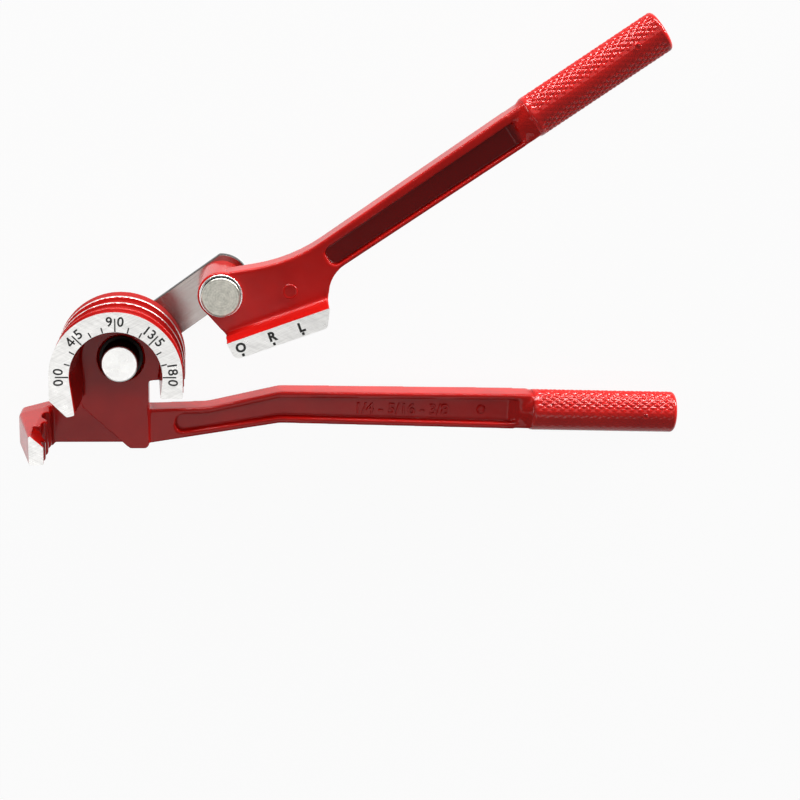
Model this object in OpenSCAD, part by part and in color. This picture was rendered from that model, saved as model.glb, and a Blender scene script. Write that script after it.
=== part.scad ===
// Hand tube bender for three tube sizes: a cast former with its fixed arm and hook,
// a cast shoe lever, and a steel link that joins them on two headed pins.
// The tool lies on its back. The centre pin stands on the Z axis, and z = 0 is the plane it lies on.

/* [Tubes] */
// Outside diameter of the small tube
tube_small_d = 6.35; // [5:0.05:7]
// Outside diameter of the middle tube
tube_middle_d = 7.94; // [7:0.05:8.5]
// Outside diameter of the large tube
tube_large_d = 9.53; // [8.5:0.05:10.5]
// Room between a tube and its groove, on the radius
groove_clear = 0.1; // [0.05:0.05:0.3]
// Width of the ridges beside the grooves
ridge_w = 1.3; // [1:0.1:2]

/* [Former] */
// Radius of the former's rim, which is the bend radius at the tube's centre
rim_r = 24; // [22:0.5:27]
// Inner radius of the scale ring at its ground face
ring_inner_r = 16.8; // [15:0.1:18]
// Inner radius of the ring's wall where it meets the web
ring_root_r = 15; // [13.5:0.1:16]
// Length of the rim's straight leg on the hook's side
hook_leg_len = 15; // [13:0.1:16]
// Height of the slanted cut at the end of that leg
hook_leg_cut = 6.2; // [4:0.1:8]
// Length of the rim's straight leg on the arm's side
arm_leg_len = 8; // [6:0.1:10]
// Lean of the legs' inner sides towards each other
leg_lean = 7.4; // [4:0.2:9]
// Thickness of the web behind the ring
web_t = 8.4; // [7:0.1:10]
// Distance from the centre pin to the web's right edge
web_right = 10.2; // [9.8:0.1:11.5]
// Distance from the centre pin down to the web's lower edge
web_drop = 35.6; // [35:0.1:37]
// Depth of the recess round the centre pin
recess_depth = 2.5; // [1.5:0.1:4]
// Radius of that recess
recess_r = 8.8; // [8.4:0.1:9.2]

/* [Hook] */
// Distance from the centre pin to the hook's outer side
hook_reach = 39; // [37:0.1:40]
// Width of the hook's ground face
hook_face_w = 5.2; // [4:0.1:7]
// Distance from the centre pin to the hook's upper side
hook_top = 22.2; // [21:0.1:24]
// Height of the hook's ground face along the tube
hook_h = 10.9; // [8:0.1:11.5]
// Distance from the centre pin down to the hook's foot
hook_foot = 36; // [35:0.1:37]
// Extra room round a tube in the hook's seats, on the radius
hook_room = 0.5; // [0.2:0.1:0.8]
// Depth of the slanted lead-in at the hook's ground face
lead_in_depth = 11.5; // [8:0.5:16]
// Room between the rim's crest and the hook's inner side
hook_gap = 2.6; // [2:0.1:3]
// Thickness of the base bar that carries the hook
base_t = 8.2; // [6:0.1:9]

/* [Fixed arm] */
// Thickness of the fixed arm
arm_t = 11.2; // [10:0.1:11.6]
// Width of the fixed arm at its bend
arm_w = 11.6; // [10:0.1:13]
// Extra width on the fixed arm's upper side
arm_crown = 0.7; // [0:0.1:1]
// Width of the fixed arm where it meets the grip
arm_end_w = 13.2; // [12:0.1:14.5]
// Distance from the centre pin to the arm's bend
arm_bend_x = 60; // [55:0.5:66]
// Distance from the centre pin to the end of the fixed grip
arm_reach = 215.7; // [200:0.1:240]
// Drop of the grip's axis below the centre pin, at the arm's bend
arm_drop = 19.8; // [19:0.1:21]
// Slope of the fixed grip's axis
arm_slope = 1.06; // [0.5:0.02:2]
// Width of the rim round the arms' pockets
pocket_rim = 2.3; // [1.4:0.1:3]
// Depth of the arms' pockets
pocket_depth = 3.2; // [2:0.1:3.6]
// Length of the sloped end of the pockets beside the grips
pocket_ramp = 3.7; // [2:0.1:6]

/* [Grips] */
// Diameter of the round grips
grip_d = 16; // [15:0.1:17]
// Length of the round grips
grip_len = 58.7; // [50:0.1:70]
// Radius of the rounded edge at the grips' ends
grip_round = 1.6; // [1:0.1:3]
// Room between the two grips where they cross
grip_pass = 1.4; // [0.6:0.1:2]

/* [Shoe lever] */
// Distance from the pivot pin to the shoe's face
shoe_drop = 21.6; // [20.5:0.1:23]
// Room between the shoe's face and the rim's crest when the shoe is closed
shoe_gap = 1.2; // [0.8:0.1:1.5]
// Offset of the zero mark from the pivot pin, along the shoe
zero_offset = 1; // [0:0.1:2]
// Length of the shoe's face
shoe_len = 35.3; // [32:0.1:38]
// Width of the shoe's ground strip
strip_w = 6.6; // [6:0.1:7.5]
// Thickness of the lever's plate and arm
lever_t = 10.6; // [9:0.1:11]
// Radius of the boss round the pivot pin
boss_r = 8.6; // [8.2:0.1:9]
// Angle between the shoe's face and the lever's grip
handle_angle = 14.74; // [12:0.02:17]
// Distance from the pivot pin to the lever grip's axis
handle_offset = 9.6; // [8:0.1:11]
// Distance along the lever grip's axis from the pivot pin to its end
lever_reach = 187.2; // [175:0.1:205]
// Width of the lever's arm where it leaves the plate
lever_arm_w = 12; // [10:0.1:13]
// Extra width on the lower side of the lever's arm
lever_belly = 0.4; // [0:0.1:1]
// Shift of the lever's pockets towards the lower side
pocket_shift = 1.2; // [0:0.1:1.3]

/* [Link and pins] */
// Thickness of the link
link_t = 3; // [2.5:0.1:4]
// Distance from the line between the pins to the link's upper side
link_high = 9.1; // [7.6:0.1:9.6]
// Distance from that line to the link's lower side
link_low = 7; // [6:0.1:8]
// Radius of the link's end at the pivot pin
link_pivot_r = 10.8; // [10:0.1:12]
// Room between the link and the castings
link_gap = 0.2; // [0.1:0.05:0.4]
// Thickness of the collars on the pins' tails
collar_t = 2.8; // [2:0.1:4]
// Radius of the collars
collar_r = 7.5; // [6.5:0.1:8]
// Radius of the pins' tails
tail_r = 4; // [3:0.1:4.5]
// Radius of the pins' shanks
shank_r = 5; // [4.6:0.1:5.5]
// Running room between a shank and its bore, on the radius
shank_clear = 0.05; // [0.02:0.01:0.1]
// Room between a tail and the hole that it is pressed into, on the radius
tail_clear = 0.02; // [0.01:0.01:0.05]
// Thickness of the washers under the heads
washer_t = 1; // [0.6:0.1:1.5]
// Room above and below a washer
washer_gap = 0.1; // [0.05:0.05:0.2]
// Radius of the centre pin's head
center_head_r = 7; // [6.2:0.1:7.2]
// Height of the centre pin's head
center_head_h = 10.9; // [8:0.1:13]
// Radius of the centre pin's washer
center_washer_r = 8.2; // [7.4:0.1:8.3]
// Radius of the pivot pin's head
pivot_head_r = 7.3; // [6.5:0.1:8]
// Height of the pivot pin's head
pivot_head_h = 2.6; // [2:0.1:4]
// Radius of the pivot pin's washer
pivot_washer_r = 7.9; // [7:0.1:8.2]
// Chamfer on the edges of heads and collars
edge_cut = 0.5; // [0.2:0.1:0.8]

/* [Pose] */
// Angle of the link at rest
link_angle = 36.26; // [20:0.5:60]
// Angle of the shoe's face at rest
shoe_angle = 19.86; // [0:0.5:40]

/* [Hidden] */
$fn = 64;
// Reach of a cut past the face it opens
over = 1;
// Straight pieces in each rounded corner of an outline
corner_steps = 6;
// Straight pieces in the link's round ends
arc_steps = 24;
// Length of the cone that leads into a grip
grip_lead = 2;

// Levels from the plane that the tool lies on
link_back = collar_t;
link_front = link_back + link_t;
casting_back = link_front + link_gap;
web_front = casting_back + web_t;
recess_floor = web_front - recess_depth;
grip_r = grip_d / 2;
arm_back = grip_r - arm_t / 2;
arm_front = arm_back + arm_t;
base_front = arm_back + base_t;
lever_mid = 3 * grip_r + grip_pass;
lever_back = lever_mid - lever_t / 2;
lever_front = lever_back + lever_t;

// The grooves, from the back: large, middle, small
groove_r = [for (d = [tube_large_d, tube_middle_d, tube_small_d]) d / 2 + groove_clear];
groove_z = [
    web_front + ridge_w + groove_r[0],
    web_front + 2 * ridge_w + 2 * groove_r[0] + groove_r[1],
    web_front + 3 * ridge_w + 2 * groove_r[0] + 2 * groove_r[1] + groove_r[2]
];
face_z = groove_z[2] + groove_r[2] + ridge_w;
rim_h = face_z - web_front;

// Places of the pivot pin and the lever
link_len = sqrt(pow(rim_r + shoe_gap + shoe_drop, 2) + pow(zero_offset, 2));
pivot = link_len * [cos(link_angle), sin(link_angle)];
grip_start = arm_reach - grip_len;
arm_axis_y = -arm_drop;

// Corners of the web, the base bar and the arm's root, from the centre pin
bar_low = 34.1;
bar_high = 19.3;
web_side_x = 14.2;
web_side_y = 19.8;
lug_x = 3;
lug_y = 33;
slot_y = 8.8;
web_round = 5;
lug_round = 2;
bar_round = 3;
slot_round = 1;
tip_round = 0.6;
root_w = 13.2;
root_low = -33.6;
root_lean = 0.04;
knee_x = 22;
knee_rise = 0.8;
knee_round = 24;
bend_round = 16;
pocket_near = 10;
pocket_gap = 4;

// Corners of the hook: how its base spreads past its ground face
foot_lift = 0.6;
base_dip = 0.4;
base_slant = 3;
horn_round = 2;
face_round = 0.5;
lead_in_h = 4;
lead_in_step = 0.6;

// Corners of the shoe's ends, from its heel to its toe
heel_x = -2.1;
heel_lean = 1;
heel_round = 2.4;
toe_x = heel_x + shoe_len;
toe_lean = 0.48;
toe_round = 2;
shoe_top = -shoe_drop + strip_w;
shoe_draft = 0.8;
// Corner between the shoe's toe and the arm, and the dip between the boss and the arm
throat_h = 15.6;
throat_round = 12;
saddle_x = 28.8;
saddle_y = 3.1;
saddle_round = 60;
// How far the plate's lines start inside the boss
boss_bite = 0.15;
// Near end of the lever's pocket, along the grip's axis from the pivot pin
lever_pocket_near = 40;
pocket_round = 2.6;

red = [0.74, 0.05, 0.06];
steel = [0.72, 0.72, 0.7];

// Unit vector from one point to another
function toward(a, b) = (b - a) / norm(b - a);

// Points of an arc of radius r that rounds the corner b between a and c
function corner(a, b, c, r) =
    let (
        u = toward(b, a),
        v = toward(b, c),
        half = acos(max(-1, min(1, u * v))) / 2,
        reach = r / tan(half),
        mid = b + toward([0, 0], u + v) * (r / sin(half)),
        start = b + u * reach - mid,
        stop = b + v * reach - mid
    )
    [for (i = [0 : corner_steps])
        let (w = start * (1 - i / corner_steps) + stop * (i / corner_steps))
        mid + w * (r / norm(w))];

// An outline of [x, y, radius] corners as plain points
function rounded(p) =
    let (n = len(p))
    [for (i = [0 : n - 1])
        let (
            a = p[(i + n - 1) % n],
            b = p[i],
            c = p[(i + 1) % n]
        )
        each (b[2] > 0 ? corner([a[0], a[1]], [b[0], b[1]], [c[0], c[1]], b[2]) : [[b[0], b[1]]])];

module slab(points, low, high) {
    translate([0, 0, low])
        linear_extrude(high - low)
            polygon(rounded(points));
}

// A round bar along +X from the origin, with its far edge rounded and a short lead-in cone
module grip() {
    rotate([0, 90, 0])
        rotate_extrude()
            polygon(rounded([
                [0, 0, 0], [grip_r - grip_lead, 0, 0], [grip_r, grip_lead, 0],
                [grip_r, grip_len, grip_round], [0, grip_len, 0]
            ]));
}

// The sloped end of a pocket: it rises along +X from the pocket's floor to its end at the origin
module pocket_slope() {
    step = 0.2;
    rotate([90, 0, 0])
        linear_extrude(arm_end_w - pocket_rim, center = true)
            polygon([
                [-pocket_ramp, -over], [over, -over], [over, pocket_depth - step],
                [0, pocket_depth - step], [-pocket_ramp, 0]
            ]);
}

// The outline of the fixed arm, drawn in from its edges by inset
function arm_outline(from_x, to_x, inset) =
    let (
        root_high = root_low + root_w,
        bend_high = arm_axis_y + arm_w / 2 + arm_crown,
        bend_low = arm_axis_y - arm_w / 2,
        end_mid = arm_axis_y - (to_x - arm_bend_x) * tan(arm_slope),
        end_half = arm_end_w / 2,
        lean = (bend_low - root_low) / (arm_bend_x - web_right)
    )
    [
        [from_x, root_high + (from_x - web_right) * root_lean - inset, inset > 0 ? arm_w / 4 : 0],
        [web_right + knee_x, root_high + knee_rise - inset, knee_round],
        [arm_bend_x, bend_high - inset, bend_round],
        [to_x, end_mid + end_half + arm_crown - inset, 0],
        [to_x, end_mid - end_half + inset, 0],
        [arm_bend_x, bend_low + inset, bend_round],
        [from_x, root_low + lean * (from_x - web_right) + inset, inset > 0 ? arm_w / 4 : 0]
    ];

// Height of the fixed arm's middle line beyond its bend
function arm_mid_y(x) = arm_axis_y - (x - arm_bend_x) * tan(arm_slope);

module fixed_arm() {
    pocket_end = grip_start - pocket_gap;
    pocket = arm_outline(web_right + pocket_near, pocket_end, pocket_rim);
    difference() {
        slab(arm_outline(web_right - over, grip_start + over, 0), arm_back, arm_front);
        slab(pocket, arm_front - pocket_depth, arm_front + over);
        slab(pocket, arm_back - over, arm_back + pocket_depth);
    }
    for (side = [1, -1])
        translate([pocket_end, arm_mid_y(pocket_end), grip_r + side * (arm_t / 2 - pocket_depth)])
            rotate([0, 0, -arm_slope])
                scale([1, 1, side])
                    pocket_slope();
    translate([grip_start, arm_mid_y(grip_start), grip_r])
        rotate([0, 0, -arm_slope])
            grip();
}

// Outline of the former seen along the centre pin, without the web's lower part
function rim_outline() = [
    [-rim_r, 0, 0],
    [-rim_r, hook_leg_cut - hook_leg_len, 0],
    [-rim_r + hook_leg_cut, -hook_leg_len, tip_round],
    [-ring_root_r + over, -hook_leg_len + over, 0],
    [-ring_root_r + over, 0, 0]
];

module rim_legs() {
    inner = ring_root_r - over;
    slab(rim_outline(), casting_back, face_z);
    translate([inner, -arm_leg_len, casting_back])
        cube([rim_r - inner, arm_leg_len, face_z - casting_back]);
}

// The open space to the right of the left leg's inner side
module leg_side() {
    top_r = ring_inner_r + (ring_inner_r - ring_root_r) / rim_h * over;
    rotate([0, 0, leg_lean])
        rotate([90, 0, 0])
            linear_extrude(2 * hook_leg_len)
                polygon([
                    [-ring_root_r, web_front], [2 * ring_root_r, web_front],
                    [2 * ring_root_r, face_z + over], [-top_r, face_z + over]
                ]);
}

// The open space inside the ring: a cone above the centre pin and a tapered slot below it
module ring_hollow() {
    top_r = ring_inner_r + (ring_inner_r - ring_root_r) / rim_h * over;
    translate([0, 0, web_front])
        cylinder(h = rim_h + over, r1 = ring_root_r, r2 = top_r);
    intersection() {
        leg_side();
        mirror([1, 0, 0])
            leg_side();
    }
}

// Half-round grooves: half a ring over the top and straight runs down both legs
module rim_grooves() {
    for (i = [0 : 2]) {
        translate([0, 0, groove_z[i]])
            rotate_extrude(angle = 180)
                translate([rim_r, 0])
                    circle(groove_r[i]);
        for (side = [-1, 1])
            translate([side * rim_r, 0, groove_z[i]])
                rotate([90, 0, 0])
                    cylinder(h = hook_leg_len + over, r = groove_r[i]);
    }
}

module rim() {
    difference() {
        union() {
            translate([0, 0, casting_back])
                intersection() {
                    cylinder(h = face_z - casting_back, r = rim_r);
                    translate([-rim_r - over, 0, -over])
                        cube([2 * (rim_r + over), rim_r + over, face_z]);
                }
            rim_legs();
        }
        ring_hollow();
        rim_grooves();
    }
}

module web() {
    slab([
        [-rim_r + over, 0, 0], [-rim_r + over, hook_leg_cut - hook_leg_len, 0],
        [-rim_r + hook_leg_cut + over, -hook_leg_len, 0], [-web_side_x, -web_side_y, web_round],
        [0, -lug_y, bar_round], [lug_x, -web_drop, lug_round], [web_right, -web_drop, lug_round],
        [web_right, -slot_y, slot_round], [rim_r - over, -arm_leg_len, 0], [rim_r - over, 0, 0]
    ], casting_back, web_front);
}

// The bar that joins the hook, the web and the fixed arm at the back
module base_bar() {
    inner = rim_r + hook_gap;
    slab([
        [-hook_reach, -hook_foot, horn_round], [-hook_reach, -hook_top - base_dip, horn_round],
        [-inner, -bar_high, bar_round],
        [-rim_r + hook_leg_cut + over, -hook_leg_len - over, 0], [web_right, root_low + root_w, 0],
        [web_right, -bar_low, 0], [-inner + over, -bar_low, slot_round],
        [-inner, -hook_foot + foot_lift, slot_round]
    ], arm_back, base_front);
}

// The hook: a horn that leans inward from the base bar to a ground face level with the scale
module hook() {
    inner = rim_r + hook_gap;
    outer = inner + hook_face_w;
    low = hook_top + hook_h;
    thin = 0.2;
    difference() {
        hull() {
            slab([
                [-hook_reach, -hook_foot, horn_round], [-hook_reach, -hook_top - base_dip, horn_round],
                [-inner, -hook_top + base_slant, horn_round], [-inner, -hook_foot + foot_lift, horn_round]
            ], base_front - thin, base_front);
            slab([
                [-outer, -low, face_round], [-outer, -hook_top, face_round],
                [-inner, -hook_top, face_round], [-inner, -low, face_round]
            ], face_z - thin, face_z);
        }
        slab([
            [-outer + lead_in_step, -hook_top, 0], [-inner + over, -hook_top - lead_in_h - over, 0],
            [-inner + over, -hook_top + 2 * over, 0], [-outer + lead_in_step, -hook_top + 2 * over, 0]
        ], face_z - lead_in_depth, face_z + over);
        for (i = [0 : 2])
            translate([-rim_r, -hook_foot - over, groove_z[i]])
                rotate([-90, 0, 0])
                    cylinder(h = hook_foot, r = groove_r[i] + hook_room);
    }
}

module former_body() {
    color(red)
        difference() {
            union() {
                rim();
                web();
                base_bar();
                hook();
                fixed_arm();
            }
            cylinder(h = web_front + over, r = shank_r + shank_clear);
            translate([0, 0, recess_floor])
                cylinder(h = recess_depth + over, r = recess_r);
        }
}

// Point just inside the boss from which a line to p runs along its left side
function boss_side(p) =
    let (
        r = boss_r - boss_bite,
        turn = atan2(p[1], p[0]) - acos(r / norm(p))
    )
    r * [cos(turn), sin(turn)];

// Distance along the shoe and height above it of a point on the lever grip's axis
function on_handle(along, across) =
    along * [cos(handle_angle), sin(handle_angle)]
    + (across - handle_offset) * [-sin(handle_angle), cos(handle_angle)];

// Outline of the lever from the boss, round the shoe's heel and toe, to the grip and back
function lever_outline() =
    let (
        heel = [heel_x - heel_lean, shoe_top],
        side = boss_side(heel),
        start = lever_reach - grip_len + over,
        low_end = on_handle(start, -arm_end_w / 2 - lever_belly),
        high_end = on_handle(start, arm_end_w / 2)
    )
    [
        [side[0], side[1], 0], [heel[0], heel[1], 0], [heel_x, -shoe_drop, heel_round],
        [toe_x, -shoe_drop, toe_round], [toe_x + toe_lean * throat_h, -shoe_drop + throat_h, throat_round],
        [low_end[0], low_end[1], 0], [high_end[0], high_end[1], 0],
        [saddle_x, saddle_y, saddle_round], [boss_bite, boss_r - 4 * boss_bite, 0]
    ];

module lever_pocket(low, high) {
    far = lever_reach - grip_len - pocket_gap;
    high_rim = pocket_rim + pocket_shift;
    low_rim = pocket_rim - pocket_shift;
    a = on_handle(lever_pocket_near, lever_arm_w / 2 - high_rim);
    b = on_handle(lever_pocket_near, -lever_arm_w / 2 + low_rim);
    c = on_handle(far, -arm_end_w / 2 + low_rim);
    d = on_handle(far, arm_end_w / 2 - high_rim);
    slab([
        [a[0], a[1], pocket_round], [b[0], b[1], pocket_round], [c[0], c[1], 0], [d[0], d[1], 0]
    ], low, high);
}

// The shoe: a block as deep as the former, on the lever's outline, with a drafted back
module shoe_block() {
    back = web_front + 2 * link_gap;
    intersection() {
        slab(lever_outline(), back, face_z);
        translate([heel_x - shoe_len / 2, 0, 0])
            rotate([90, 0, 90])
                linear_extrude(2 * shoe_len)
                    polygon([
                        [-shoe_drop - over, back - over], [shoe_top + shoe_draft, back - over],
                        [shoe_top + shoe_draft, lever_front], [shoe_top, face_z + over],
                        [-shoe_drop - over, face_z + over]
                    ]);
    }
}

module shoe_lever() {
    grip_at = on_handle(lever_reach - grip_len, 0);
    slope_at = on_handle(lever_reach - grip_len - pocket_gap, -pocket_shift);
    floor_h = lever_t / 2 - pocket_depth;
    color(red)
        translate([pivot[0], pivot[1], 0])
            rotate([0, 0, shoe_angle])
                difference() {
                    union() {
                        difference() {
                            slab(lever_outline(), lever_back, lever_front);
                            lever_pocket(lever_front - pocket_depth, lever_front + over);
                            lever_pocket(lever_back - over, lever_back + pocket_depth);
                        }
                        for (side = [1, -1])
                            translate([slope_at[0], slope_at[1], lever_mid + side * floor_h])
                                rotate([0, 0, handle_angle])
                                    scale([1, 1, side])
                                        pocket_slope();
                        shoe_block();
                        translate([0, 0, casting_back])
                            cylinder(h = lever_front - casting_back, r = boss_r);
                        translate([grip_at[0], grip_at[1], lever_mid])
                            rotate([0, 0, handle_angle])
                                grip();
                    }
                    cylinder(h = lever_front + over, r = shank_r + shank_clear);
                    for (i = [0 : 2])
                        translate([heel_x - 3 * over, -shoe_drop - shoe_gap, groove_z[i]])
                            rotate([0, 90, 0])
                                cylinder(h = shoe_len + 12 * over, r = groove_r[i]);
                }
}

// Points of an arc round a centre
function arc(center, r, from, to) =
    [for (i = [0 : arc_steps])
        let (a = from + (to - from) * i / arc_steps)
        center + r * [cos(a), sin(a)]];

module link_plate() {
    half_w = (link_high + link_low) / 2;
    up = asin(link_high / link_pivot_r);
    down = asin(link_low / link_pivot_r);
    color(steel)
        rotate([0, 0, link_angle])
            translate([0, 0, link_back])
                difference() {
                    linear_extrude(link_t)
                        polygon(concat(
                            arc([0, link_high - half_w], half_w, 90, 270),
                            arc([link_len, 0], link_pivot_r, -down, up)
                        ));
                    for (x = [0, link_len])
                        translate([x, 0, -over])
                            cylinder(h = link_t + 2 * over, r = tail_r + tail_clear);
                }
}

// A turned pin: a tail in the link and collar, a shank up to its washer, and a head with a cut edge
module headed_pin(seat, head_r, head_h) {
    head_low = seat + washer_t + 2 * washer_gap;
    rotate_extrude()
        polygon([
            [0, 0], [tail_r, 0], [tail_r, link_front], [shank_r, link_front], [shank_r, head_low],
            [head_r, head_low], [head_r, head_low + head_h - edge_cut],
            [head_r - edge_cut, head_low + head_h], [0, head_low + head_h]
        ]);
}

module pin_washer(seat, outer_r) {
    translate([0, 0, seat + washer_gap])
        difference() {
            cylinder(h = washer_t, r = outer_r);
            translate([0, 0, -over])
                cylinder(h = washer_t + 2 * over, r = shank_r + shank_clear);
        }
}

module tail_collar() {
    difference() {
        rotate_extrude()
            polygon([
                [0, 0], [collar_r - edge_cut, 0], [collar_r, edge_cut], [collar_r, collar_t], [0, collar_t]
            ]);
        translate([0, 0, -over])
            cylinder(h = collar_t + 2 * over, r = tail_r + tail_clear);
    }
}

module at_pivot() {
    translate([pivot[0], pivot[1], 0])
        children();
}

module center_pin() {
    color(steel)
        headed_pin(recess_floor, center_head_r, center_head_h);
}

module center_washer() {
    color(steel)
        pin_washer(recess_floor, center_washer_r);
}

module center_collar() {
    color(steel)
        tail_collar();
}

module pivot_pin() {
    color(steel)
        at_pivot()
            headed_pin(lever_front, pivot_head_r, pivot_head_h);
}

module pivot_washer() {
    color(steel)
        at_pivot()
            pin_washer(lever_front, pivot_washer_r);
}

module pivot_collar() {
    color(steel)
        at_pivot()
            tail_collar();
}

former_body();
shoe_lever();
link_plate();
center_pin();
center_washer();
center_collar();
pivot_pin();
pivot_washer();
pivot_collar();
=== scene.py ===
import math

import bmesh
import bpy
from mathutils import Matrix, Vector, kdtree


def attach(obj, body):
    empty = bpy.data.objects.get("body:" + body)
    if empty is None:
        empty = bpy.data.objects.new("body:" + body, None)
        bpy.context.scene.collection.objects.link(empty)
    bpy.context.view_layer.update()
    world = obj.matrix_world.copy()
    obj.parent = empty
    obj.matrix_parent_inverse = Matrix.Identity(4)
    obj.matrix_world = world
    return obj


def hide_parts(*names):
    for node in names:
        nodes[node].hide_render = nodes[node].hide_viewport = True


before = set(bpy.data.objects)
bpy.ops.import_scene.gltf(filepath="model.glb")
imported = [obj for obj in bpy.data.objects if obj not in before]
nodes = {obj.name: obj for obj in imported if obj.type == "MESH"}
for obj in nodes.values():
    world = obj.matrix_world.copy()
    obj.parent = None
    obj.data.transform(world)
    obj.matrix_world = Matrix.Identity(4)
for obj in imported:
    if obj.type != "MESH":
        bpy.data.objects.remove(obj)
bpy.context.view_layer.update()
mm = 0.001
print("frame loaded:", len(nodes), "nodes")

# places shared with the solids, in millimetres and degrees
layout = {
    "faceZ": 44.02,               # ground faces of ring, shoe and hook
    "rimRadius": 24.0,            # crests of the ridges between the grooves
    "pivot": (37.745, 27.686),
    "shoeAngle": 19.86,
    "handleAngle": 34.6,
    "armAngle": -1.06,
    "leverFront": 30.7,
    "armFront": 13.6,
    "fixedPocketFloor": 10.4,
}


def turned(degrees):
    return Matrix.Rotation(math.radians(degrees), 4, "Z")


def moved(x, y, z):
    return Matrix.Translation(Vector((x, y, z)) * mm)


def onHandle(along, across, z):  # a place on the lever's arm, turned with it
    px, py = layout["pivot"]
    return moved(px, py, z) @ turned(layout["handleAngle"]) @ moved(along, across, 0)


class Wire:  # a socket that takes sums
    def __init__(self, tree, socket=None):
        self.tree = tree
        self.socket = socket

    def add(self, kind, settings, sockets, out=0):
        node = self.tree.nodes.new(kind)
        for name, value in settings.items():
            setattr(node, name, value)
        for name, value in sockets.items():
            if isinstance(value, Wire):
                self.tree.links.new(value.socket, node.inputs[name])
            else:
                node.inputs[name].default_value = value
        return Wire(self.tree, node.outputs[out] if node.outputs else None)

    def maths(self, operation, a, b=0.0):
        return self.add("ShaderNodeMath", {"operation": operation}, {0: a, 1: b})

    def __add__(self, other):
        return self.maths("ADD", self, other)

    def __radd__(self, other):
        return self.maths("ADD", other, self)

    def __sub__(self, other):
        return self.maths("SUBTRACT", self, other)

    def __rsub__(self, other):
        return self.maths("SUBTRACT", other, self)

    def __mul__(self, other):
        return self.maths("MULTIPLY", self, other)

    def __rmul__(self, other):
        return self.maths("MULTIPLY", other, self)

    def __gt__(self, other):
        return self.maths("GREATER_THAN", self, other)


def startMaterial(name):
    material = bpy.data.materials.new(name)
    material.use_nodes = True
    material.node_tree.nodes.clear()
    wire = Wire(material.node_tree)
    return material, wire, wire.add("ShaderNodeTexCoord", {}, {}, "Object")


def axis(wire, vector, name):  # one coordinate of a vector
    return wire.add("ShaderNodeSeparateXYZ", {}, {"Vector": vector}, name)


def facing(wire):  # 1 where the surface looks up, -1 where it looks down
    return axis(wire, wire.add("ShaderNodeTexCoord", {}, {}, "Normal"), "Z")


def fromAxis(wire, place, centre):  # distance from an upright axis
    x, y = centre
    flat = wire.add("ShaderNodeVectorMath", {"operation": "SUBTRACT"}, {0: place, 1: (x * mm, y * mm, 0)})
    flat = wire.add("ShaderNodeVectorMath", {"operation": "MULTIPLY"}, {0: flat, 1: (1, 1, 0)})
    return wire.add("ShaderNodeVectorMath", {"operation": "LENGTH"}, {0: flat}, "Value")


def noise(wire, place, size, detail=2.0, rough=0.5):  # size in millimetres
    sockets = {"Vector": place, "Scale": 1 / (size * mm), "Detail": detail, "Roughness": rough}
    return wire.add("ShaderNodeTexNoise", {}, sockets)


def streaks(wire, place, turn, size, detail=3.0):  # long noise, size along and across in millimetres
    along, across = size
    sockets = {
        "Vector": place,
        "Rotation": (0, 0, math.radians(turn)),
        "Scale": (along * mm, across * mm, along * mm),
    }
    laid = wire.add("ShaderNodeMapping", {"vector_type": "TEXTURE"}, sockets)
    sockets = {"Vector": laid, "Scale": 1.0, "Detail": detail, "Roughness": 0.6}
    return wire.add("ShaderNodeTexNoise", {}, sockets)


def between(wire, value, low, high):  # the middle part of a noise, spread from low to high
    sockets = {"Value": value, "From Min": 0.3, "From Max": 0.7, "To Min": low, "To Max": high}
    return wire.add("ShaderNodeMapRange", {"clamp": True}, sockets)


def mixColour(wire, share, a, b):
    return wire.add("ShaderNodeMix", {"data_type": "RGBA"}, {"Factor": share, 6: a, 7: b}, 2)


def bump(wire, height, depth):  # depth in millimetres
    return wire.add("ShaderNodeBump", {}, {"Height": height, "Distance": depth * mm, "Strength": 1.0})


def surface(wire, sockets):
    return wire.add("ShaderNodeBsdfPrincipled", {}, sockets)


def finishMaterial(wire, shader):
    wire.add("ShaderNodeOutputMaterial", {}, {"Surface": shader})


paint = {
    "casting": {
        "tones": ((0.50, 0.006, 0.004, 1), (0.60, 0.009, 0.006, 1)),
        "rough": (0.10, 0.18),
        "shine": 0.2,
        "grain": 1.0,
    },
    "grip": {
        # painted light: the same red as the casting's, made brighter on the grips
        "tones": ((0.62, 0.008, 0.006, 1), (0.74, 0.012, 0.008, 1)),
        "rough": (0.06, 0.11),
        "shine": 0.32,
        "grain": 0.2,             # the knurl's faces are smoother than the cast ones
    },
    # painted shade: the dark red that the shade masks mix into the paint
    "paintedShadeColour": (0.22, 0.003, 0.002, 1),
    "tonePatch": 14,              # sizes of patches with another tone or gloss
    "glossPatch": 5,
    "peel": 1.3,                  # grain of the sprayed coat
    "peelDepth": 0.008,
    "castGrain": 4.5,             # waviness of the casting
    "castDepth": 0.03,
}


def paintSurface(wire, place, coat, shade=0, dull=0):
    patch = between(wire, noise(wire, place, paint["tonePatch"], 3.0), 0, 1)
    gloss = noise(wire, place, paint["glossPatch"], 3.0)
    peel = noise(wire, place, paint["peel"])
    wave = noise(wire, place, paint["castGrain"])
    return surface(wire, {
        "Base Color": mixColour(wire, shade, mixColour(wire, patch, *coat["tones"]), paint["paintedShadeColour"]),
        "Roughness": between(wire, gloss, *coat["rough"]) + dull,
        "Specular IOR Level": coat["shine"],
        "Normal": bump(wire, peel * paint["peelDepth"] + wave * paint["castDepth"], coat["grain"]),
    })


groundMetal = {
    "pale": (0.93, 0.92, 0.90, 1),
    "grey": (0.25, 0.245, 0.235, 1),
    "rough": (0.25, 0.40),
    "metallic": 0.75,             # scuffed enough to look partly white
    "turn": 28,                   # way that the grinder ran
    "fine": (9, 0.22),
    "broadTurn": -22,             # older scratches under its marks
    "broad": (6, 1.1),
    "patch": 3.2,
    "shares": (0.45, 0.35, 0.2),  # of fine, broad and patch
    "spread": (0.5, 1.15),
    "depth": 0.012,
    "skim": 0.22,                 # the paint begins this far below the ground faces
    "ragged": 0.5,                # along a ragged line
}


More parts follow.
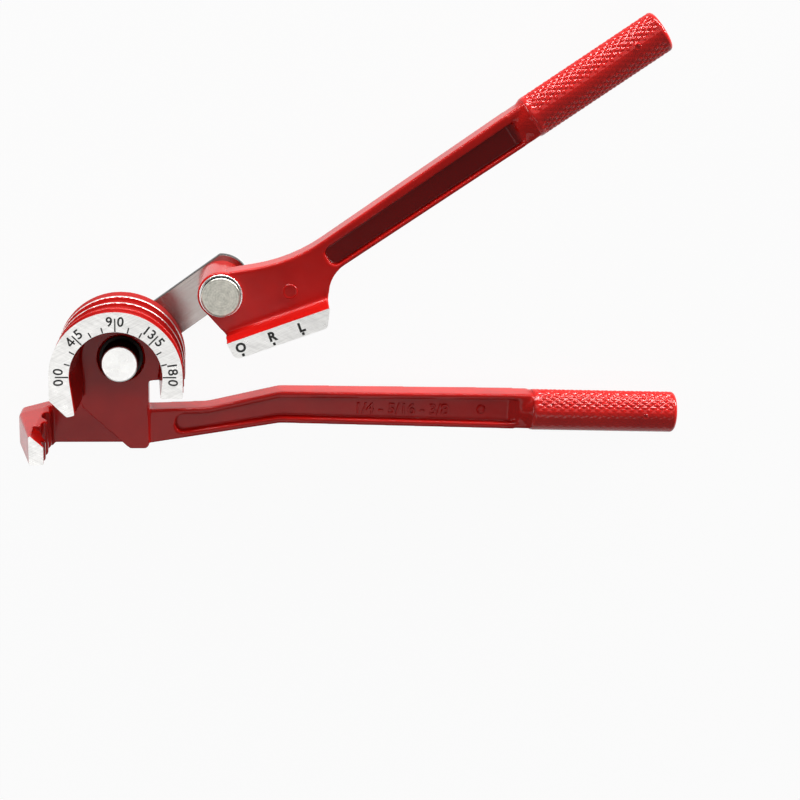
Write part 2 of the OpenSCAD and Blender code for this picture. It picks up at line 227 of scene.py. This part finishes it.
def groundSurface(wire, place):
    fine = streaks(wire, place, groundMetal["turn"], groundMetal["fine"])
    broad = streaks(wire, place, groundMetal["broadTurn"], groundMetal["broad"], 4.0)
    patch = noise(wire, place, groundMetal["patch"], 4.0, 0.65)
    a, b, c = groundMetal["shares"]
    mark = between(wire, fine * a + broad * b + patch * c, *groundMetal["spread"])
    return surface(wire, {
        "Base Color": mixColour(wire, mark, groundMetal["grey"], groundMetal["pale"]),
        "Metallic": groundMetal["metallic"],
        "Roughness": between(wire, patch, *groundMetal["rough"]),
        "Normal": bump(wire, fine, groundMetal["depth"]),
    })


rimWearAndShade = {
    "width": 0.14,                # how far down a ridge the metal is bare
    "ragged": 0.3,
    "grain": 0.9,
    "above": 0.3,                 # what stands farther out isn't the rim
    "from": 14.2,                 # heights of the ridges that are rubbed
    "to": 33.0,                   # the ridge beside the scale keeps its paint
    "edge": 0.6,                  # the rim's back edge gets rougher paint and painted shade
    "dull": 0.7,
    # share of painted shade on the rim's back edge
    "dim": 0.55,
}

pocketShade = {                   # painted shade in the lever's pocket, full on its floor
    "heights": (26.9, 28.4, 30.2),  # from under its floor, full to the second, gone at the third
    "from": 66.0,
    "facing": 0.5,
}


def redCasting():  # gloss paint, ground off level with the scale and rubbed off two ridges of the rim, with painted shade in the lever's pocket and on the rim's back edge
    material, wire, place = startMaterial("redCasting")
    x, y, height = (axis(wire, place, name) for name in "XYZ")
    radius = fromAxis(wire, place, (0, 0))
    ragged = noise(wire, place, rimWearAndShade["grain"], 3.0) - 0.5
    crest = layout["rimRadius"]
    onRim = (y > 0) * ((crest + rimWearAndShade["above"]) * mm - radius > 0)
    rubbed = radius + ragged * (rimWearAndShade["ragged"] * mm) > (crest - rimWearAndShade["width"]) * mm
    rubbed = rubbed * onRim * (height > rimWearAndShade["from"] * mm) * (rimWearAndShade["to"] * mm - height > 0)
    # the rim's back edge: rougher paint and painted shade
    backEdge = onRim * (radius > (crest - rimWearAndShade["edge"]) * mm) * (rimWearAndShade["from"] * mm - height > 0)
    ground = height + ragged * (groundMetal["ragged"] * mm) > (layout["faceZ"] - groundMetal["skim"]) * mm
    # painted shade in the lever's pocket: full on its floor, fading out up its walls
    low, level, top = (z * mm for z in pocketShade["heights"])
    fade = wire.add("ShaderNodeMapRange", {}, {"Value": height, "From Min": top, "From Max": level})
    inPocket = (facing(wire) > pocketShade["facing"]) * (x > pocketShade["from"] * mm) * (height > low)
    shade = wire.maths("MAXIMUM", inPocket * fade, backEdge * rimWearAndShade["dim"])
    red = paintSurface(wire, place, paint["casting"], shade, backEdge * rimWearAndShade["dull"])
    bare = wire.maths("MAXIMUM", ground, rubbed)
    sockets = {"Fac": bare, 1: red, 2: groundSurface(wire, place)}
    finishMaterial(wire, wire.add("ShaderNodeMixShader", {}, sockets))
    return material


def redGrip():
    material, wire, place = startMaterial("redGrip")
    finishMaterial(wire, paintSurface(wire, place, paint["grip"]))
    return material


linkFinish = {
    "pale": (0.43, 0.385, 0.365, 1),
    "grey": (0.31, 0.275, 0.26, 1),
    "side": (0.012, 0.011, 0.011, 1),  # painted dark reflection: the plate's edges are made near-black
    "facing": 0.8,
    "rough": (0.16, 0.28),
    "turn": 36.26,
    "grain": (14, 0.3),
    "depth": 0.01,
    "cloud": 5,
}


def satinLink():  # rolled plate with its grain along the link, and its edges made near-black as a painted dark reflection
    material, wire, place = startMaterial("satinLink")
    grain = streaks(wire, place, linkFinish["turn"], linkFinish["grain"])
    cloud = noise(wire, place, linkFinish["cloud"], 4.0, 0.6)
    flat = wire.maths("ABSOLUTE", facing(wire)) > linkFinish["facing"]
    mark = between(wire, grain * 0.5 + cloud * 0.5, 0, 1)
    plate = mixColour(wire, mark, linkFinish["grey"], linkFinish["pale"])
    finishMaterial(wire, surface(wire, {
        "Base Color": mixColour(wire, flat, linkFinish["side"], plate),
        "Metallic": 1.0,
        "Roughness": between(wire, cloud, *linkFinish["rough"]),
        "Normal": bump(wire, grain, linkFinish["depth"]),
    }))
    return material


steels = {                        # ring is the pitch of the lathe's marks, face the height of a pin's head
    "centre": {"name": "turnedCentre", "centre": (0, 0), "pale": (0.87, 0.87, 0.86, 1),
               "grey": (0.74, 0.74, 0.72, 1), "rough": (0.26, 0.40), "ring": 0.5, "face": 24.0},
    "pivot": {"name": "turnedPivot", "centre": layout["pivot"], "pale": (0.60, 0.59, 0.52, 1),
              "grey": (0.34, 0.33, 0.29, 1), "rough": (0.28, 0.44), "ring": 0.9, "face": 34.5},
    "plated": {"name": "platedWasher", "centre": layout["pivot"], "pale": (0.95, 0.95, 0.93, 1),
               "grey": (0.80, 0.80, 0.78, 1), "rough": (0.22, 0.34), "ring": 0.6},
    # painted shade: the washer in the centre pin's recess is made near-black, as the recess's shade
    "washer": {"name": "paintedShadeWasher", "centre": (0, 0), "pale": (0.035, 0.032, 0.030, 1),
               "grey": (0.015, 0.014, 0.013, 1), "rough": (0.35, 0.5), "ring": 0.4},
}

lathe = {
    "wanderSize": 2.5,
    "wander": 5,
    "mottle": 1.6,
    "ringShare": 0.04,
    "depth": 0.012,
    # painted shade on the sides of a pin's head
    "paintedSideShade": (0.008, 0.007, 0.007, 1),
    "paintedSideShadeRough": 0.5,
    "paintedSideShadeFrom": 10,              # the tails farther back stay bright
    "bright": 0.35,               # and so does the edge of a head
}


def turnedSteel(name, centre, pale, grey, rough, ring, face=0):  # rings left by the lathe tool
    material, wire, place = startMaterial(name)
    wander = noise(wire, place, lathe["wanderSize"], 3.0)
    turns = fromAxis(wire, place, centre) * (2 * math.pi / (ring * mm))
    rings = wire.maths("SINE", turns + wander * lathe["wander"])
    mottle = noise(wire, place, lathe["mottle"], 4.0, 0.65)
    steel = mixColour(wire, between(wire, mottle + rings * lathe["ringShare"], 0, 1), grey, pale)
    polish = between(wire, mottle, *rough)
    if face:  # painted shade: the head's side is made near-black and rougher
        height = axis(wire, place, "Z")
        paintedSideShade = (height > lathe["paintedSideShadeFrom"] * mm) * ((face - lathe["bright"]) * mm - height > 0)
        steel = mixColour(wire, paintedSideShade, steel, lathe["paintedSideShade"])
        polish = polish + paintedSideShade * lathe["paintedSideShadeRough"]
    finishMaterial(wire, surface(wire, {
        "Base Color": steel,
        "Metallic": 1.0,
        "Roughness": polish,
        "Normal": bump(wire, rings * 0.5 + mottle, lathe["depth"]),
    }))
    return material


ink = {
    "tones": ((0.010, 0.010, 0.010, 1), (0.030, 0.029, 0.028, 1)),
    "rough": (0.45, 0.65),
    "shine": 0.3,
    "patch": 0.8,
}


def blackInk():
    material, wire, place = startMaterial("blackInk")
    worn = noise(wire, place, ink["patch"], 3.0)
    finishMaterial(wire, surface(wire, {
        "Base Color": mixColour(wire, between(wire, worn, 0, 1), *ink["tones"]),
        "Roughness": between(wire, worn, *ink["rough"]),
        "Specular IOR Level": ink["shine"],
    }))
    return material


looks = {"casting": redCasting(), "grip": redGrip(), "link": satinLink()}
for look, steel in steels.items():
    looks[look] = turnedSteel(**steel)
looks["ink"] = blackInk()
print("materials made:", len(looks))


def newPiece(name, bm, look, body):
    mesh = bpy.data.meshes.new(name)
    bm.to_mesh(mesh)
    bm.free()
    mesh.materials.append(looks[look])
    piece = bpy.data.objects.new(name, mesh)
    bpy.context.scene.collection.objects.link(piece)
    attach(piece, body)
    return piece


def everything(bm):
    return bm.verts[:] + bm.edges[:] + bm.faces[:]


def meshOf(holder):  # the finished mesh of an object that is then thrown away
    bpy.context.scene.collection.objects.link(holder)
    mesh = bpy.data.meshes.new_from_object(holder.evaluated_get(bpy.context.evaluated_depsgraph_get()))
    bpy.data.objects.remove(holder)
    return mesh


castings = {
    "voxel": 0.3,
    "smoothing": 0.5,
    "rounding": 5,                # smoothing passes that round the cast edges
    # an arm's upper edge is smoothed more
    "soft": {"reach": 2.2, "passes": 16, "step": 0.5, "slack": 0.1, "front": 0.5, "tilt": 0.2},
    "triangles": 150000,          # left after thinning
    "stock": 1.6,                 # metal that the grinder takes off
    "flat": 0.99,                 # upward share of a level face's normal
    "near": 0.01,                 # what lies this close to the ground faces counts as one
    "weld": 0.001,
    "gripStub": 3.0,              # plain shoulder left in front of a knurled grip
    "flare": {"from": 5.2, "to": 7.97, "at": -1.6, "length": 6.2, "sides": 72},  # blends an arm into its grip
    "neck": (-5.6, 1.6),          # smoothed further, along the grip's own axis
    "neckReach": 20,
    "neckPasses": 30,
    "fixedGripPlace": moved(157.0, -21.595, 8.0) @ turned(layout["armAngle"]),
    "leverGripPlace": onHandle(128.5, -9.6, 25.4),
}


def softLine(bm, level):  # points along an arm's upper front edge
    soft = castings["soft"]
    points = []
    for edge in bm.edges:
        a, b = (v.co for v in edge.verts)
        if len(edge.link_faces) != 2 or abs(a.z - level) + abs(b.z - level) > soft["slack"] * mm:
            continue
        up, side = sorted((f.normal for f in edge.link_faces), key=lambda n: -n.z)
        if up.z > castings["flat"] and side.y > soft["front"] and abs(side.z) < soft["tilt"]:
            steps = 1 + int(edge.calc_length() / (soft["step"] * mm))
            points += [a.lerp(b, i / steps) for i in range(steps + 1)]
    tree = kdtree.KDTree(len(points))
    for i, point in enumerate(points):
        tree.insert(point, i)
    tree.balance()
    return tree


def cutGrip(bm, gripPlace):  # the grip comes off behind its shoulder
    stub = gripPlace @ moved(castings["gripStub"], 0, 0)
    along = gripPlace.to_3x3() @ Vector((1, 0, 0))
    cut = bmesh.ops.bisect_plane(bm, geom=everything(bm), dist=1e-7, plane_co=stub.translation, plane_no=along,
                                 clear_outer=True)
    bmesh.ops.holes_fill(bm, edges=[e for e in cut["geom_cut"] if isinstance(e, bmesh.types.BMEdge)], sides=0)


def addFlare(bm, gripPlace):
    flare = castings["flare"]
    place = gripPlace @ moved(flare["at"], 0, 0) @ Matrix.Rotation(math.pi / 2, 4, "Y")
    bmesh.ops.create_cone(bm, cap_ends=True, segments=flare["sides"], radius1=flare["from"] * mm,
                          radius2=flare["to"] * mm, depth=flare["length"] * mm, matrix=place)


def addStock(bm):  # the raw casting stands proud of the faces that get ground
    level = (layout["faceZ"] - castings["near"]) * mm
    flat = [f for f in bm.faces if f.normal.z > castings["flat"] and f.calc_center_median().z > level]
    raised = bmesh.ops.extrude_face_region(bm, geom=flat)["geom"]
    bmesh.ops.delete(bm, geom=flat, context="FACES_ONLY")
    raisedVerts = [v for v in raised if isinstance(v, bmesh.types.BMVert)]
    bmesh.ops.translate(bm, verts=raisedVerts, vec=(0, 0, castings["stock"] * mm))


def remeshed(bm, name):  # as fine voxels with rounded edges
    rough = bpy.data.meshes.new(name)
    bm.to_mesh(rough)
    bm.free()
    mould = bpy.data.objects.new(name, rough)
    remesh = mould.modifiers.new("voxels", "REMESH")
    remesh.mode = "VOXEL"
    remesh.voxel_size = castings["voxel"] * mm
    soften = mould.modifiers.new("soften", "SMOOTH")
    soften.factor = castings["smoothing"]
    soften.iterations = castings["rounding"]
    bm = bmesh.new()
    bm.from_mesh(meshOf(mould))
    return bm


def smooth(bm, verts, passes):
    for i in range(passes):
        bmesh.ops.smooth_vert(bm, verts=verts, factor=castings["smoothing"], use_axis_x=True, use_axis_y=True,
                              use_axis_z=True)


def grind(bm):  # leaves flat faces with crisp edges
    top = Vector((0, 0, layout["faceZ"] * mm))
    bmesh.ops.bisect_plane(bm, geom=everything(bm), dist=castings["near"] * mm, plane_co=top, plane_no=(0, 0, 1),
                           clear_outer=True)
    for face in bm.faces:
        face.smooth = True
    rim = [e for e in bm.edges if e.is_boundary]
    ground = bmesh.ops.holes_fill(bm, edges=rim, sides=0)["faces"]
    for part in rim + ground:
        part.smooth = False
    bmesh.ops.triangulate(bm, faces=ground)


def castFrom(node, gripPlace, level):
    bm = bmesh.new()
    bm.from_mesh(nodes[node].data)
    bmesh.ops.remove_doubles(bm, verts=bm.verts, dist=castings["weld"] * mm)
    cutGrip(bm, gripPlace)
    print(node, "open edges after the cut:", sum(e.is_boundary for e in bm.edges))
    soft = softLine(bm, level * mm)
    addFlare(bm, gripPlace)
    addStock(bm)
    bm = remeshed(bm, node + "Rough")
    reach = castings["soft"]["reach"] * mm
    smooth(bm, [v for v in bm.verts if soft.find(v.co)[2] < reach], castings["soft"]["passes"])
    start, end = (x * mm for x in castings["neck"])
    toGrip = gripPlace.inverted()
    neck = []
    for v in bm.verts:
        at = toGrip @ v.co
        if start < at.x < end and at.yz.length < castings["neckReach"] * mm:
            neck.append(v)
    smooth(bm, neck, castings["neckPasses"])
    grind(bm)
    print(node, "cast:", len(bm.faces), "faces")
    return bm


def thin(piece):
    fewer = piece.modifiers.new("thin", "DECIMATE")
    fewer.ratio = min(1.0, castings["triangles"] / sum(len(p.vertices) - 2 for p in piece.data.polygons))


formerShape = castFrom("former_body", castings["fixedGripPlace"], layout["armFront"])
formerCasting = newPiece("formerCasting", formerShape, "casting", "body")
thin(formerCasting)
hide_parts("former_body")
leverShape = castFrom("shoe_lever", castings["leverGripPlace"], layout["leverFront"])
leverCasting = newPiece("leverCasting", leverShape, "casting", "lever")
thin(leverCasting)
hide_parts("shoe_lever")


grips = {
    "length": 58.7,
    "radius": 8.0,
    "start": 1.3,                 # inside the shoulder
    "neck": 7.85,
    "collarAt": 2.4,              # from here a plain band covers the shoulder's end
    "proud": 0.02,
    "endRound": 1.6,
    "endSteps": 6,
    "weld": 0.002,
    "diamondsRound": 22,
    "diamondLength": 3.4457,      # eight rows of the mesh
    "stepsRound": 8,
    "rows": 126,
    "knurlDepth": 0.5,
    "skin": 0.3,                  # what lies deeper is left as it is
    "knurlFrom": 3.2,
    "knurlTo": 57.3,
    "fade": 0.9,
    "fixedPlain": (63.0, 205.0),  # degrees round a grip where its knurl has gone flat
    "leverPlain": (63.0, 118.0),
    "plainFade": 18.0,
    "plainDepth": 0.12,
}


def gap(x):  # 1 in a groove and 0 half way between two
    return abs(2 * (x - math.floor(x)) - 1)


def limited(x):
    return min(1.0, max(0.0, x))


def knurl(bm, plain):
    first, last = plain
    for v in bm.verts:
        x, r = v.co.x / mm, math.hypot(v.co.y, v.co.z) / mm
        if r < grips["radius"] - grips["skin"]:
            continue
        u = (x - grips["collarAt"]) / grips["diamondLength"]
        turn = math.degrees(math.atan2(v.co.z, v.co.y)) % 360
        w = turn / 360 * grips["diamondsRound"]
        crest = min(1 - gap(u + w), 1 - gap(u - w))
        crest = math.sin(crest * math.pi / 2)
        near = limited(min(x - grips["knurlFrom"], grips["knurlTo"] - x) / grips["fade"])
        flat = limited(min(turn - first, last - turn) / grips["plainFade"])
        near *= 1 - flat * (1 - grips["plainDepth"])
        shrink = 1 - grips["knurlDepth"] * near * (1 - crest) / r
        v.co.y *= shrink
        v.co.z *= shrink


def makeGrip(name, place, body, plain):
    bm = bmesh.new()
    start, far, r = grips["start"], grips["length"], grips["radius"] + grips["proud"]
    corners = [(start, 0), (start, grips["neck"]), (grips["collarAt"], r), (far, r), (far, 0)]
    line = [bm.verts.new((x * mm, 0, y * mm)) for x, y in corners]
    for a, b in zip(line, line[1:]):
        bm.edges.new((a, b))
    bmesh.ops.bevel(bm, geom=[line[3]], offset=grips["endRound"] * mm, offset_type="OFFSET",
                    segments=grips["endSteps"], profile=0.5, affect="VERTICES", material=-1)
    longest = max(bm.edges, key=lambda e: e.calc_length())
    bmesh.ops.subdivide_edges(bm, edges=[longest], cuts=grips["rows"])
    bmesh.ops.spin(bm, geom=bm.verts[:] + bm.edges[:], cent=(0, 0, 0), axis=(1, 0, 0), angle=2 * math.pi,
                   steps=grips["diamondsRound"] * grips["stepsRound"], use_merge=True)
    bmesh.ops.remove_doubles(bm, verts=bm.verts, dist=grips["weld"] * mm)
    bmesh.ops.recalc_face_normals(bm, faces=bm.faces)
    knurl(bm, plain)
    for face in bm.faces:
        face.smooth = True
    bmesh.ops.transform(bm, matrix=place, verts=bm.verts)
    print(name, len(bm.faces), "faces")
    newPiece(name, bm, "grip", body)


makeGrip("fixedGripKnurl", castings["fixedGripPlace"], "body", grips["fixedPlain"])
makeGrip("leverGripKnurl", castings["leverGripPlace"], "lever", grips["leverPlain"])


strokes = {
    "deep": 0.02,                 # of a letter one unit high, before stamp sets its depth
    "barRound": 0.12,
    "fourLeft": -0.36,            # shares of the height of a 4
    "fourCross": -0.22,
    "fourStem": 0.12,
    "fourWidth": 0.72,
}


def glyph(text, height, bold, edge=0):  # a flat word, centred on its own outline
    curve = bpy.data.curves.new("glyph", "FONT")
    curve.body = text
    curve.size = 1.0
    curve.offset = bold
    curve.extrude = strokes["deep"]
    curve.bevel_depth = edge
    curve.bevel_resolution = 1
    mesh = meshOf(bpy.data.objects.new("glyph", curve))
    xs = [v.co.x for v in mesh.vertices]
    ys = [v.co.y for v in mesh.vertices]
    size = height * mm / (max(ys) - min(ys))
    middle = Matrix.Translation((-(max(xs) + min(xs)) / 2, -(max(ys) + min(ys)) / 2, 0))
    mesh.transform(Matrix.Diagonal((size, size, size, 1)) @ middle)
    return mesh


def stamp(bm, mesh, place, thick):  # thick in millimetres, for a mesh of any depth
    zs = [v.co.z for v in mesh.vertices]
    mesh.transform(place @ Matrix.Diagonal((1, 1, thick * mm / (max(zs) - min(zs)), 1)))
    bm.from_mesh(mesh)


def bar(bm, length, width, place, thick):  # a tick along its own X
    shape = Matrix.Diagonal((length * mm, width * mm, thick * mm, 1))
    made = bmesh.ops.create_cube(bm, size=1.0, matrix=place @ shape)
    edges = {e for v in made["verts"] for e in v.link_edges if abs((e.verts[0].co - e.verts[1].co).z) > 1e-6}
    bmesh.ops.bevel(bm, geom=list(edges), offset=strokes["barRound"] * mm, offset_type="OFFSET", segments=2,
                    profile=0.5, affect="EDGES", material=-1)


def barFour(bm, place, height, width, thick):  # the font's own 4 clogs when it is made bolder
    top, left = height / 2, strokes["fourLeft"] * height
    stem, cross = strokes["fourStem"] * height, strokes["fourCross"] * height
    low = cross + width / 2
    reach = math.hypot(stem - left, top - low)
    lean = turned(math.degrees(math.atan2(top - low, stem - left)))
    slant = moved((stem + left) / 2, (top + low) / 2 - width / 2, 0) @ lean
    bar(bm, height, width, place @ moved(stem, 0, 0) @ turned(90), thick)
    bar(bm, strokes["fourWidth"] * height, width, place @ moved(0, cross, 0), thick)
    bar(bm, reach, width, place @ slant, thick)


scale = {
    "step": 15,
    "innerR": 16.9,
    "longTick": 4.8,
    "shortTick": 2.1,
    "tickWidth": 0.5,
    "figureR": 20.65,
    "figureHeight": 3.6,
    "stroke": 0.58,
    "bold": 0.016,
    "thick": 0.06,
    "aside": 5.6,                 # degrees from a tick to the figure beside it
    "wideAside": 7.8,             # and to two figures
    "labels": {180: ("0", "0"), 135: ("4", "5"), 90: ("9", "0"), 45: ("13", "5"), 0: ("18", "0")},
}


def makeScale():
    bm = bmesh.new()
    z, thick, height = layout["faceZ"], scale["thick"], scale["figureHeight"]
    for angle in range(0, 181, scale["step"]):
        length = scale["longTick"] if angle in scale["labels"] else scale["shortTick"]
        bar(bm, length, scale["tickWidth"], turned(angle) @ moved(scale["innerR"] + length / 2, 0, z), thick)
    for angle, (left, right) in scale["labels"].items():
        for text, side in ((left, 1), (right, -1)):
            aside = scale["wideAside"] if len(text) > 1 else scale["aside"]
            place = turned(angle + side * aside) @ moved(scale["figureR"], 0, z) @ turned(-90)
            if text == "4":
                barFour(bm, place, height, scale["stroke"], thick)
            else:
                stamp(bm, glyph(text, height, scale["bold"]), place, thick)
    newPiece("scaleMarks", bm, "ink", "body")


shoeMarks = {
    "letters": {"O": (44.98, 11.29), "R": (56.52, 15.54), "L": (66.89, 18.98)},
    "dots": [(45.94, 8.61), (57.1, 12.7), (67.55, 16.55)],
    "height": 3.6,
    "bold": 0.046,
    "dot": (1.0, 1.1),
    "thick": 0.06,
}


def makeShoeMarks():
    bm = bmesh.new()
    z, thick = layout["faceZ"], shoeMarks["thick"]
    lean = turned(layout["shoeAngle"])
    for text, (x, y) in shoeMarks["letters"].items():
        stamp(bm, glyph(text, shoeMarks["height"], shoeMarks["bold"]), moved(x, y, z) @ lean, thick)
    for x, y in shoeMarks["dots"]:
        bar(bm, *shoeMarks["dot"], moved(x, y, z) @ lean, thick)
    newPiece("shoeMarks", bm, "ink", "lever")


sizeFigures = {
    "text": "1/4 - 5/16 - 3/8",
    "height": 4.6,
    "at": (107.8, -20.7),
    "bold": -0.005,
    "edge": 0.03,                 # rounds the figures
    "thick": 1.6,
}


def makeSizeFigures():
    bm = bmesh.new()
    place = moved(*sizeFigures["at"], layout["fixedPocketFloor"]) @ turned(layout["armAngle"])
    figures = glyph(sizeFigures["text"], sizeFigures["height"], sizeFigures["bold"], sizeFigures["edge"])
    stamp(bm, figures, place, sizeFigures["thick"])
    newPiece("sizeFigures", bm, "casting", "body")


makeScale()
makeShoeMarks()
makeSizeFigures()
print("marks made")


pushMarks = {
    "formerPushMark": {"look": "casting", "body": "body", "radius": 1.9, "stand": 0.7,
                       "at": (138.4, -20.9, layout["fixedPocketFloor"])},
    "fixedGripPushMark": {"look": "grip", "body": "body", "radius": 1.6, "stand": 0.2,
                          "at": (202.9, -22.5, 15.95)},
    "leverPushMark": {"look": "casting", "body": "lever", "radius": 3.0, "stand": 0.32,
                      "at": (63.0, 29.4, layout["leverFront"])},
    "leverGripPushMark": {"look": "grip", "body": "lever", "radius": 1.7, "stand": 0.2,
                          "at": (187.0, 120.2, 33.35)},
}

ejector = {"lip": 0.2, "slope": 0.45, "depth": 0.8, "dish": 0.8, "sides": 40}


def makePushMark(name, look, body, radius, stand, at):  # mark of a mould's pin: a low lip round a shallow dish
    bm = bmesh.new()
    slope, depth = ejector["slope"], ejector["depth"]
    bmesh.ops.create_cone(bm, cap_ends=True, segments=ejector["sides"], radius1=radius * mm,
                          radius2=(radius - slope) * mm, depth=depth * mm, matrix=moved(0, 0, stand - depth / 2))
    lid = max(bm.faces, key=lambda f: f.calc_center_median().z)
    for step in (ejector["lip"], slope):
        bmesh.ops.inset_region(bm, faces=[lid], thickness=step * mm)
    bmesh.ops.translate(bm, verts=lid.verts[:], vec=(0, 0, -stand * ejector["dish"] * mm))
    bmesh.ops.transform(bm, matrix=moved(*at), verts=bm.verts)
    for face in bm.faces:
        face.smooth = len(face.verts) == 4
    newPiece(name, bm, look, body)


for name, mark in pushMarks.items():
    makePushMark(name, **mark)


trims = {                         # look and bevel of each piece that keeps its solid
    "link_plate": ("link", 0.35),
    "center_pin": ("centre", 0.22),
    "center_washer": ("washer", 0.15),
    "center_collar": ("centre", 0.2),
    "pivot_pin": ("pivot", 0.3),
    "pivot_washer": ("plated", 0.2),
    "pivot_collar": ("pivot", 0.2),
}

trimEdges = {"weld": 0.001, "level": 0.5, "sharp": 28, "segments": 3}

for node, (look, width) in trims.items():
    piece = nodes[node]
    piece.data.materials.clear()
    piece.data.materials.append(looks[look])
    weld = piece.modifiers.new("weld", "WELD")
    weld.merge_threshold = trimEdges["weld"] * mm
    plain = piece.modifiers.new("plain", "DECIMATE")
    plain.decimate_type = "DISSOLVE"
    plain.angle_limit = math.radians(trimEdges["level"])
    edge = piece.modifiers.new("edge", "BEVEL")
    edge.width = width * mm
    edge.segments = trimEdges["segments"]
    edge.limit_method = "ANGLE"
    edge.angle_limit = math.radians(trimEdges["sharp"])
    edge.harden_normals = True
print("pieces made")


stageSet = {
    "middle": (0.09, 0.05),       # in metres, as the lamps are
    "aimHeight": 0.02,
    "floorSize": 6.0,
    "floorZ": -0.05,              # in millimetres, just clear of the tool's back
    "floorColour": (0.90, 0.90, 0.90, 1),
    "clean": 0.94,                # how white the camera sees the floor
    "mirrored": 0.65,             # and how white the paint and the metal do
    "skyMirrored": 0.35,
    "fill": 0.06,                 # light from all round
}

white = (1, 1, 1, 1)


def seenDirectly(wire, camera, mirrored):  # shares for camera rays and for mirror and glass rays
    names = ("Is Camera Ray", "Is Glossy Ray", "Is Transmission Ray")
    seen, glossy, through = (wire.add("ShaderNodeLightPath", {}, {}, name) for name in names)
    return wire.add("ShaderNodeClamp", {}, {"Value": seen * camera + (glossy + through) * mirrored})


def makeFloor():
    bm = bmesh.new()
    place = Matrix.Translation((*stageSet["middle"], stageSet["floorZ"] * mm))
    bmesh.ops.create_grid(bm, x_segments=1, y_segments=1, size=stageSet["floorSize"] / 2, matrix=place)
    mesh = bpy.data.meshes.new("floor")
    bm.to_mesh(mesh)
    bm.free()
    floor = bpy.data.objects.new("floor", mesh)
    bpy.context.scene.collection.objects.link(floor)
    material, wire = startMaterial("paleFloor")[:2]
    matt = wire.add("ShaderNodeBsdfDiffuse", {}, {"Color": stageSet["floorColour"]})
    glow = wire.add("ShaderNodeEmission", {}, {"Color": white, "Strength": 1.0})
    share = seenDirectly(wire, stageSet["clean"], stageSet["mirrored"])
    finishMaterial(wire, wire.add("ShaderNodeMixShader", {}, {"Fac": share, 1: matt, 2: glow}))
    mesh.materials.append(material)


def makeWorld():
    world = bpy.data.worlds.new("studio")
    world.use_nodes = True
    world.node_tree.nodes.clear()
    wire = Wire(world.node_tree)
    dim = wire.add("ShaderNodeBackground", {}, {"Color": white, "Strength": stageSet["fill"]})
    clean = wire.add("ShaderNodeBackground", {}, {"Color": white, "Strength": 1.0})
    share = seenDirectly(wire, 1.0, stageSet["skyMirrored"])
    both = wire.add("ShaderNodeMixShader", {}, {"Fac": share, 1: dim, 2: clean})
    wire.add("ShaderNodeOutputWorld", {}, {"Surface": both})
    bpy.context.scene.world = world


lamps = {
    "lowStrip": {"at": (0.00, 1.40, 0.115), "size": (1.5, 0.18), "power": 19.0},
    "sideStrip": {"at": (1.15, 0.90, 0.13), "size": (0.9, 0.18), "power": 24.0},
    "glintStrip": {"at": (0.25, 1.30, 0.32), "size": (1.8, 0.35), "power": 31.0, "mirrorOnly": True},
    "leftStrip": {"at": (-1.20, 0.20, 0.25), "size": (0.8, 0.3), "power": 5.0},
    "backBox": {"at": (0.10, 0.85, 1.35), "size": (1.4, 0.6), "power": 2.8},
    "skyBox": {"at": (-0.21, -0.50, 1.6), "size": (1.58, 0.63), "power": 4.4},
}


def makeLamps():
    aim = Vector((*stageSet["middle"], stageSet["aimHeight"]))
    for name, lamp in lamps.items():
        light = bpy.data.lights.new(name, "AREA")
        light.shape = "RECTANGLE"
        light.size, light.size_y = lamp["size"]
        light.energy = lamp["power"]
        holder = bpy.data.objects.new(name, light)
        holder.location = lamp["at"]
        holder.rotation_euler = (aim - Vector(lamp["at"])).to_track_quat("-Z", "Y").to_euler()
        holder.visible_camera = False
        holder.visible_diffuse = not lamp.get("mirrorOnly", False)
        bpy.context.scene.collection.objects.link(holder)


viewpoint = {
    "at": (42.776, 155.427, 656.533),
    "turn": (-0.2624, -0.0918, 0.0254),
    "focal": 1730.82,             # in pixels of an image 800 wide
    "image": 800,
    "sensor": 36,
    "clip": (0.01, 20),
}


def makeCamera():
    data = bpy.data.cameras.new("camera")
    data.sensor_fit = "HORIZONTAL"
    data.sensor_width = viewpoint["sensor"]
    data.lens = viewpoint["focal"] / viewpoint["image"] * viewpoint["sensor"]
    data.clip_start, data.clip_end = viewpoint["clip"]
    camera = bpy.data.objects.new("camera", data)
    camera.location = Vector(viewpoint["at"]) * mm
    camera.rotation_euler = viewpoint["turn"]
    bpy.context.scene.collection.objects.link(camera)
    bpy.context.scene.camera = camera


makeFloor()
makeWorld()
makeLamps()
makeCamera()
bpy.context.scene.view_settings.view_transform = "Standard"
print("stage set")
